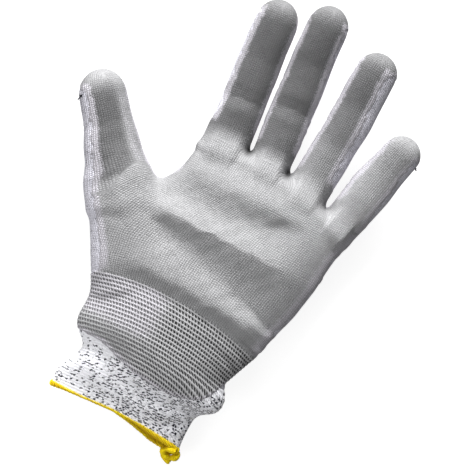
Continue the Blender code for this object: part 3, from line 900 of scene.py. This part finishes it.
def coating_paint():
    """Grey polyurethane where thick, lilac where the yarn shows through, with painted shade on the digits,
    crotches and rib's grooves.
    """
    paint = Paint("grey_polyurethane", 0.5, Specular_IOR_Level=0.3)
    u, v, inside, _ = paint.attribute("knit")
    rib, thin, painted_shading_and_dashes, _ = paint.attribute("zone")
    _, _, _, place = paint.attribute("rest")
    broad = paint.noise(place, 0.05, 3.0)
    patch = paint.noise(place, 0.22, 3.0)
    grain = paint.noise(place, 0.8, 3.0, 0.6)
    pebble = paint.noise(place, 1.9, 2.0, 0.5)
    calm = thin.between(*PATTERN_ON)
    fine = stitches(u, v, (patch - 0.5) * 0.9 + (grain - 0.5) * 0.5)
    fine = (fine - 0.4) * calm + 0.4
    random = stitch_cell(paint, u, v, 3.0)
    pinhole = random.between(0.9, 0.97) * grain.between(0.42, 0.55) * (1.0 - fine)
    # Painted shade from the digits and crotches darkens the grey, and painted light brightens it; below y -50 the
    # channel is the cuff's dash density.
    painted_shading_and_dashes = painted_shading_and_dashes * (1.0 - rib)
    shade = BASE_GREY + broad * 0.06 + (patch - 0.5) * 0.07 + (grain - 0.5) * 0.13 + (fine - 0.4) * 0.12
    shade = shade * (1.0 - painted_shading_and_dashes * PAINTED_SHADING_DEPTH) * (1.0 - pinhole * 0.4)
    thinly = thin.between(0.1, 0.7)
    sway = (patch - 0.5) * 0.8
    rows = wave(v + sway * 0.5 + (grain - 0.5) * 0.5, RIB_PITCH)
    columns = wave(u + v * 0.45 + sway + (grain - 0.5) * 0.5, RIB_PITCH * 0.9)
    rows = rows.maths("POWER", 2.3)
    columns = columns.maths("POWER", 1.5)
    ridge = rows * 0.9 + (1.0 - rows) * columns * (0.78 + thinly * 0.1) + (grain - 0.5) * 0.5
    ridge = ridge.between(0.08, 0.95)
    # The rib's grey: near black in the grooves and holes between its ridges, which is painted shade, and lighter
    # on the ridges.
    rib_grey_painted_groove_shade = (0.02 + thinly * 0.1) + ridge * (0.34 - thinly * 0.1 + pebble * 0.2)
    shade = shade * (1.0 - rib) + rib_grey_painted_groove_shade * rib
    grey = paint.vector(shade, shade, shade * 1.02)
    speck = paint.noise(place, 1.7, 2.0, 0.6)
    edge = inside.between(4.6, 0.0)
    # On the lilac too, painted shade darkens the grooves between the rib's ridges.
    light = (0.34 + fine * 0.4 + ridge * rib * 0.1) * (1.0 - rib * (1.0 - ridge) * 0.72)
    lilac = paint.vector(light, light * 0.965, light * 1.05)
    show = (thin.maths("MAXIMUM", edge) * 1.1 + speck * 1.6 - 1.15).between(0.0, 0.6)
    colour = paint.mix(show * 0.75, grey, lilac)
    height = (fine * 0.24 + grain * 0.22 + pebble * 0.14) * (1.0 - rib * 0.6) + ridge * rib * 0.26
    return paint.finish(colour, height, 0.46 + grain * 0.12 + rib * 0.15)


def knit_paint():
    """Bare lilac-white yarn, with dark specks between the stitches."""
    paint = Paint("lilac_knit", 0.85, Specular_IOR_Level=0.25, Sheen_Weight=0.2, Sheen_Roughness=0.5)
    u, v, _, _ = paint.attribute("knit")
    _, thin, _, _ = paint.attribute("zone")
    _, _, _, place = paint.attribute("rest")
    fuzz = paint.noise(place, 1.7, 3.0, 0.65)
    fine = (stitches(u, v, (fuzz - 0.5) * 0.4) - 0.5) * thin.between(*PATTERN_ON) + 0.5
    random = stitch_cell(paint, u, v, 1.0)
    light = 0.48 + fine * 0.3 + fuzz * 0.12
    white = paint.vector(light, light * 0.985, light * 1.09)
    gap = (0.4 - fine).between(0.0, 0.25) * random.between(0.35, 0.7)
    fleck = fuzz.between(0.57, 0.64)
    dark = (gap * 0.8).maths("MAXIMUM", fleck * random.between(0.55, 0.75))
    colour = paint.mix(dark * 0.9, white, SPECK_BLACK)
    return paint.finish(colour, fine * 0.3 + fuzz * 0.12)


def flecked_paint():
    """The cuff's rib: white, with short near-black dashes along its rows, and yellow inside its edge."""
    paint = Paint("flecked_cuff_knit", 0.88, Specular_IOR_Level=0.2, Sheen_Weight=0.2, Sheen_Roughness=0.5)
    u, v, _, _ = paint.attribute("knit")
    inner, _, density, _ = paint.attribute("zone")
    _, y, _, place = paint.attribute("rest")
    fuzz = paint.noise(place, 1.4, 3.0, 0.65)
    wobble = paint.noise(place, 0.5, 3.0, 0.6) - 0.5

    def dashes(pitch_u, pitch_v, half_thick, seed, most):
        row = v / pitch_v + wobble * 2.4
        slid = u / pitch_u + row.maths("FLOOR") * 0.37 + wobble * 1.5
        random = paint.chance(slid.maths("FLOOR"), row.maths("FLOOR"), seed)
        across = (slid.maths("FRACT") - 0.5).maths("ABSOLUTE")
        along = (row.maths("FRACT") - 0.5).maths("ABSOLUTE")
        dash = across.between(0.5, 0.36) * along.between(half_thick + 0.1, half_thick - 0.06)
        return dash * (density * most - random).between(0.0, 0.08)

    ridge = wave(v + wobble, 1.7) * 0.5 + wave(u + wobble, 1.2) * 0.5
    light = 0.92 + ridge * 0.05 + fuzz * 0.03
    white = paint.vector(light * 0.985, light * 0.985, light * 1.03)
    bold = dashes(2.0, 1.35, 0.27, 5.0, 0.6) * fuzz.between(0.22, 0.38)
    faint = dashes(1.4, 0.85, 0.25, 9.0, 0.4) * 0.4
    colour = paint.mix(bold.maths("MAXIMUM", faint), white, DASH_BLACK)
    edge = inner.between(-0.5, -1.0) * y.between(*INNER_EDGE)
    colour = paint.mix(edge, colour, EDGE_YELLOW)
    return paint.finish(colour, ridge * 0.25 + fuzz * 0.15)


def thread_paint(name, colour, dark, scale):
    """Fuzzy spun thread, darker in random patches."""
    paint = Paint(name, 0.8, Specular_IOR_Level=0.25, Sheen_Weight=0.05, Sheen_Roughness=0.5)
    source = paint.node("ShaderNodeTexCoord")
    where = Value(source.outputs["Object"])
    broad = paint.noise(where, scale * 0.3, 2.0)
    fuzz = paint.noise(where, scale * 2.4, 4.0, 0.7)
    mixed = paint.mix((fuzz * 0.6 + broad * 0.7).between(0.45, 0.85), dark, colour)
    return paint.finish(mixed, fuzz * 0.25)


COATING = coating_paint()
KNIT = knit_paint()
FLECKED = flecked_paint()
HEM_YELLOW = thread_paint("yellow_overlock", (1.0, 0.8, 0.0, 1), (0.82, 0.56, 0.0, 1), 900)
# The padded band under the thread: a darker ochre that is painted shade between and under the yellow wraps.
HEM_BAND_PAINTED_SHADE = thread_paint("hem_band_painted_shade_ochre", (0.55, 0.33, 0.002, 1), (0.36, 0.2, 0.001, 1), 900)
BLACK_YARN = thread_paint("black_yarn", (0.05, 0.05, 0.06, 1), (0.02, 0.02, 0.025, 1), 1400)
ELASTIC = thread_paint("elastic_yarn", (0.75, 0.75, 0.7, 1), (0.55, 0.55, 0.52, 1), 1200)

# Pieces

PALM_WRIST, WRIST_CUFF = -28.8, -59.8  # where the pieces meet, along Y
WRIST_BEND = (-30.2, -54.0)  # where the fabric turns
CUFF_TURN = (-62.0, -78.0)


def digit_spans(name):
    """For each segment: where it starts, and where its bend starts and ends, along the digit."""
    hinges = DIGIT[name].hinges
    if name == "thumb":
        return [(0.6, 1.6, 5.6), (6.6, 7.6, 19.5), (27.2, 28.4, 44.0)]
    first, second, third = hinges
    start_two, start_three = second - 6.9, third - 7.9
    return [
        (0.6, 1.4, first - 3.6),
        (first - 2.7, first - 1.8, min(first + 8.0, start_two - 1)),
        (start_two, second - 6.0, min(second + 7.0, start_three - 1)),
        (start_three, third - 7.0, third + 8.0),
    ]


def body_names(name):
    names = ["palm", *(f"{name}_{segment}" for segment in SEGMENTS[name])]
    return list(zip(names, names[1:]))


REGIONS = {"palm": ("palm", None, None)}
REGIONS["wrist"] = (("palm", "wrist"), (0, WRIST_BEND[0], 0), (0, WRIST_BEND[1], 0))
REGIONS["cuff"] = (("wrist", "cuff"), (0, CUFF_TURN[0], 0), (0, CUFF_TURN[1], 0))
for digit_name, digit in DIGIT.items():
    spans = digit_spans(digit_name)
    for segment, bodies, (_, bend_start, bend_end) in zip(SEGMENTS[digit_name], body_names(digit_name), spans):
        ends = [tuple(digit.root + digit.along * s) for s in (bend_start, bend_end)]
        REGIONS[f"{digit_name}_{segment}"] = (bodies, *ends)
REGION_NAMES = list(REGIONS)


def region_of(surface):
    """Each face's region, as a number in REGION_NAMES."""
    centre = surface.points[surface.faces].mean(1)
    rest_owner = surface.owner[surface.faces]
    owner = np.where((rest_owner == rest_owner[:, :1]).all(1), rest_owner[:, 0], rest_owner.max(1))
    region = np.zeros(len(centre), int)
    region[centre[:, 1] < PALM_WRIST] = REGION_NAMES.index("wrist")
    region[centre[:, 1] < WRIST_CUFF] = REGION_NAMES.index("cuff")
    for i, (name, digit) in enumerate(DIGIT.items(), 1):
        along = (centre - digit.root) @ digit.along
        for segment, (start, _, _) in zip(SEGMENTS[name], digit_spans(name)):
            region[(owner == i) & (along > start)] = REGION_NAMES.index(f"{name}_{segment}")
    return region


def attach(piece, region):
    """The palm's pieces ride with the palm; any other piece keeps its place, with its transform baked."""
    bodies, start, end = REGIONS[region]
    if start is None:
        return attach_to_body(piece, bodies)
    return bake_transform(piece)


def attributes_of(surface, index):
    return {"knit": surface.knit[index], "zone": surface.zone[index], "rest": surface.rest[index]}


def joined(first, second):
    return {label: np.vstack([first[label], second[label]]) for label in first}


def make_liner(outside, inside, regions, inner_regions):
    for number, region in enumerate(REGION_NAMES):
        index, outer_faces = renumbered(outside.faces[regions == number])
        inner_index, inner_faces = renumbered(inside.faces[inner_regions == number])
        inward = -inside.normals[inner_index]
        points = np.vstack([outside.points[index], inside.points[inner_index] + WALL * inward])
        normals = np.vstack([outside.normals[index], inward])
        faces = np.vstack([outer_faces, inner_faces[:, ::-1] + len(index)])
        within = attributes_of(inside, inner_index)
        within["zone"][:, 0] = -1
        attributes = joined(attributes_of(outside, index), within)
        paint = FLECKED if region == "cuff" else KNIT
        piece = mesh_piece(f"{region}_knit", points, faces, paint, normals, attributes)
        attach(piece, region)
        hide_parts(f"{region}_liner")
        "flecked_knit" if region == "cuff" else "liner_knit"


def make_coating(outside, regions):
    """A copy of the coated faces that stands off the liner and dips under it at its edge."""
    lift = -COAT_DIP + (COAT_LIFT + COAT_DIP) * ease(-COAT_RIM, 0.7, outside.coat)
    points = outside.points + outside.normals * lift[:, None]
    covered = (outside.coat[outside.faces] > -COAT_RIM).any(1)
    normals = normals_of(points, outside.faces)
    for number, region in enumerate(REGION_NAMES):
        chosen = outside.faces[covered & (regions == number)]
        if not len(chosen):
            continue
        index, faces = renumbered(chosen)
        read = attributes_of(outside, index)
        piece = mesh_piece(f"{region}_coat", points[index], faces, COATING, normals[index], read)
        attach(piece, region)
        if f"{region}_coating" in NODES:
            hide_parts(f"{region}_coating")


def wall_point(y, turn, inset):
    """A point inside the cuff's wall, that far in from its outside, at an angle from straight up."""
    spot = np.array([(0.0, y, 0.0)])
    middle, half, level, deep = (float(v[0]) for v in palm_section(spot))
    power = 2 / ROUNDNESS
    x = math.copysign(abs(math.sin(turn)) ** power, math.sin(turn))
    z = math.copysign(abs(math.cos(turn)) ** power, math.cos(turn))
    return np.array((middle + x * (half - inset), y, level + z * (deep - inset)))


def on_cuff(y, inset, count, turns=1.0, climb=0.0):
    """Points round the cuff, evenly spaced along it, with its shaped edge."""
    steps = np.linspace(0, turns, int(2000 * turns) + 1)
    fine = np.array([wall_point(y + climb * t, 2 * math.pi * t, inset) for t in steps])
    length = np.concatenate([[0], np.cumsum(np.linalg.norm(np.diff(fine, axis=0), axis=1))])
    even = np.linspace(0, length[-1], count)
    return shape_edge(np.stack([np.interp(even, length, fine[:, k]) for k in range(3)], 1))


HEM_INSET = 0.6  # of the band's middle from the cuff's outside
BAND_SIDES = 12
BAND_WIDE, BAND_TALL, BAND_DROP = 0.95, 1.25, 0.25  # half sizes and drop, as shares of its bulk
HEM_WRAPS, WRAP_STEPS = 190, 14
THREAD, THREAD_LIFT = 0.34, 0.22  # radius, and how far it stands off the band
STRAND, YARN_END, ELASTIC_YARN = 0.72, 0.32, 0.4  # radii


def make_hem():
    """The overlocked edge: a padded band, wrapped by thread."""
    base = on_cuff(EDGE_Y, HEM_INSET, 420)[:-1]
    ahead = unit(np.roll(base, -1, 0) - np.roll(base, 1, 0))
    outward = unit(np.cross(ahead, (0, 1, 0)))
    x, z = base[:, 0], base[:, 2]
    bulk = 0.42 + 0.6 * bell(x + 43, 8) + 0.45 * ease(5, 30, x) + 0.06 * waves(base, 41, 9)
    down = np.array((0, -1, 0))
    rings = []
    for turn in 2 * math.pi * np.arange(BAND_SIDES) / BAND_SIDES:
        over = outward * (BAND_WIDE * bulk * math.cos(turn))[:, None]
        rings.append(base + over + down * ((BAND_DROP + BAND_TALL * math.sin(turn)) * bulk)[:, None])
    points = np.stack(rings, 1).reshape(-1, 3)
    n, sides = len(base), BAND_SIDES
    i, j = np.meshgrid(np.arange(n), np.arange(sides), indexing="ij")
    faces = np.stack([i * sides + j, i * sides + (j + 1) % sides, (i + 1) % n * sides + (j + 1) % sides,
                      (i + 1) % n * sides + j], -1).reshape(-1, 4)
    # The band's darker ochre is painted shade between the thread's wraps.
    band = mesh_piece("hem_band", points, faces, HEM_BAND_PAINTED_SHADE)
    face_out(band)
    t = np.arange(HEM_WRAPS * WRAP_STEPS) / (HEM_WRAPS * WRAP_STEPS)
    turn = 2 * math.pi * HEM_WRAPS * t

    def round_hem(values):
        """A column of values round the hem, read at each step of the thread."""
        return np.interp(t * n, np.arange(n + 1), np.append(values, values[0]))

    spine = np.stack([round_hem(column) for column in base.T], 1)
    side = np.stack([round_hem(column) for column in outward.T], 1)
    size = round_hem(bulk)
    loose = 1 + 0.1 * np.sin(turn * 0.37 + 1.3)
    route = spine + side * (np.cos(turn) * (BAND_WIDE * size + THREAD_LIFT) * loose)[:, None]
    route += down * (BAND_DROP * size + np.sin(turn) * (BAND_TALL * size + THREAD_LIFT) * loose)[:, None]
    thread = tube_piece("hem_overlock_thread", route, THREAD, HEM_YELLOW, sides=6, closed=True)
    for piece in (band, thread):
        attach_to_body(piece, "cuff")
    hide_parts("hem_overlock")


def face_out(thing):
    """Turns a closed mesh's faces outwards."""
    bm = bmesh.new()
    bm.from_mesh(thing.data)
    bmesh.ops.recalc_face_normals(bm, faces=bm.faces)
    bm.to_mesh(thing.data)
    bm.free()
    thing.data.shade_smooth()


# The bunched thread at the hem's end, as listed points.
TAIL = ((33.6, -101.4, 9.2), (29.6, -102.2, 9.0), (27.6, -104.2, 7.8), (29.4, -106.2, 6.8), (32.8, -106.0, 6.4),
        (35.6, -104.4, 5.6), (35.0, -102.6, 4.0), (31.4, -103.2, 3.2), (28.4, -105.4, 2.8), (30.2, -107.8, 2.6),
        (33.4, -108.2, 3.0))
STRANDS, TWISTS = 6, 7


def curve_through(points, per):
    """Points on a smooth curve through the given ones."""
    points = np.array(points, float)
    padded = np.vstack([2 * points[0] - points[1], points, 2 * points[-1] - points[-2]])
    made = []
    for a, b, c, d in zip(padded, padded[1:], padded[2:], padded[3:]):
        for t in np.arange(per) / per:
            made.append(0.5 * (2 * b + (c - a) * t + (2 * a - 5 * b + 4 * c - d) * t**2
                               + (3 * b - a - 3 * c + d) * t**3))
    return np.vstack([made, points[-1:]])


def make_tail():
    """The bunched thread: strands twisted round one line."""
    spine = curve_through(TAIL, 24)
    ahead = unit(np.gradient(spine, axis=0))
    side = unit(np.cross(ahead, (0.3, 0.2, 1)))
    other = np.cross(ahead, side)
    t = np.linspace(0, 1, len(spine))
    thick = 0.85 * (1.15 + 0.45 * np.sin(t * 37) * np.sin(t * 11))
    for k in range(STRANDS):
        turn = 2 * math.pi * (k / STRANDS + t * TWISTS)
        route = spine + side * (np.cos(turn) * thick)[:, None] + other * (np.sin(turn) * thick)[:, None]
        strand = tube_piece(f"hem_tail_strand_{k + 1}", route, STRAND, HEM_YELLOW)
        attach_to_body(strand, "cuff")
        if k == 0:
            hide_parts("hem_thread_tail")


def make_elastic():
    """The elastic yarn, three turns inside the cuff."""
    route = on_cuff(-80.0, WALL + 0.7, 420, turns=3, climb=-4.5)
    piece = tube_piece("cuff_elastic_yarn", route, ELASTIC_YARN, ELASTIC, sides=6)
    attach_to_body(piece, "cuff")
    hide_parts("cuff_elastic")


def make_yarn_tail(name, along, side, length, body):
    """Two cut yarn ends beside a fingertip."""
    digit = DIGIT[name]
    start = digit.place(along, side * 0.9, 0.25)
    out = digit.side * side
    for k, spread in enumerate((0.0, 1.0)):
        reach = np.linspace(0, length * (1 - 0.3 * spread), 4)[:, None]
        bow = spread * reach * 0.35 - 0.12 * reach**2
        points = start + out * reach + digit.along * bow + digit.up * (0.25 * spread * reach)
        piece = tube_piece(f"{name}_yarn_end_{k + 1}", curve_through(points, 6), YARN_END, BLACK_YARN, sides=6)
        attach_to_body(piece, body)
        if k == 0:
            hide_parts(f"{name}_yarn_tail")


# Studio

VIEW_CENTRE = (9.4, 16.8)
VIEW_WIDTH = 251.5  # at the height of the subject's middle
VIEW_ROLL = 27.0  # degrees
LENS, SENSOR = 180.0, 36.0
SUBJECT_HEIGHT = 16.0
WORLD_STRENGTH = 0.2
FLOOR_Z, FLOOR_SIZE = -0.0035, 6  # metres
FLOOR_GREY, FLOOR_GLOW = (0.32, 0.32, 0.32, 1), 0.86
WHITE = (1, 1, 1, 1)
# Each light: degrees clockwise from the picture's top, degrees up, metres away, size in metres, watts.
LIGHTS = (
    ("key", 8, 23, 1.25, 0.5, 42.0),
    ("fill", -122, 32, 1.2, 0.6, 6.8),
    ("overhead", 30, 80, 1.5, 1.0, 1.5),
)


def make_studio():
    scene = bpy.context.scene
    scene.view_settings.view_transform = "Standard"
    away = VIEW_WIDTH / SENSOR * LENS
    data = bpy.data.cameras.new("camera")
    data.lens, data.sensor_width = LENS, SENSOR
    data.clip_start, data.clip_end = 0.05, 20
    camera = linked("camera", data)
    camera.location = Vector((*VIEW_CENTRE, SUBJECT_HEIGHT + away)) * MM
    camera.rotation_euler = (0, 0, math.radians(VIEW_ROLL))
    scene.camera = camera

    bpy.ops.mesh.primitive_plane_add(size=FLOOR_SIZE, location=(0, 0, FLOOR_Z))
    floor = bpy.context.object
    floor.name = "floor"
    looks = {"Base_Color": FLOOR_GREY, "Emission_Color": WHITE, "Emission_Strength": FLOOR_GLOW}
    paint = Paint("pale_floor", 0.9, Specular_IOR_Level=0.0, **looks)
    floor.data.materials.append(paint.material)
    floor.visible_diffuse = floor.visible_glossy = False

    world = bpy.data.worlds.new("studio")
    world.use_nodes = True
    background = world.node_tree.nodes["Background"].inputs
    background["Color"].default_value, background["Strength"].default_value = WHITE, WORLD_STRENGTH
    scene.world = world

    roll = math.radians(VIEW_ROLL)
    up, right = Vector((-math.sin(roll), math.cos(roll), 0)), Vector((math.cos(roll), math.sin(roll), 0))
    centre = Vector((*VIEW_CENTRE, 0)) * MM
    for name, turn, height, away, size, power in LIGHTS:
        turn, height = math.radians(turn), math.radians(height)
        flat = up * math.cos(turn) + right * math.sin(turn)
        place = (flat * math.cos(height) + Vector((0, 0, math.sin(height)))) * away
        data = bpy.data.lights.new(name, "AREA")
        data.shape, data.size, data.energy = "SQUARE", size, power
        light = linked(name, data)
        light.location = centre + place
        light.rotation_euler = (-place).to_track_quat("-Z", "Y").to_euler()


def main():
    rough_points, rough_faces = open_surface()
    rough_points = settle(rough_points)
    fine_points, fine_faces = subdivide(rough_points, rough_faces)
    outside = Surface(settle(fine_points, 2), fine_faces)
    inside = Surface(rough_points, rough_faces)
    regions = region_of(outside)
    make_liner(outside, inside, regions, region_of(inside))
    make_coating(outside, regions)
    make_hem()
    make_tail()
    make_elastic()
    make_yarn_tail("thumb", 53.0, -1, 4.0, "thumb_tip")
    make_yarn_tail("little", 47.0, 1, 2.4, "little_tip")
    make_studio()


main()
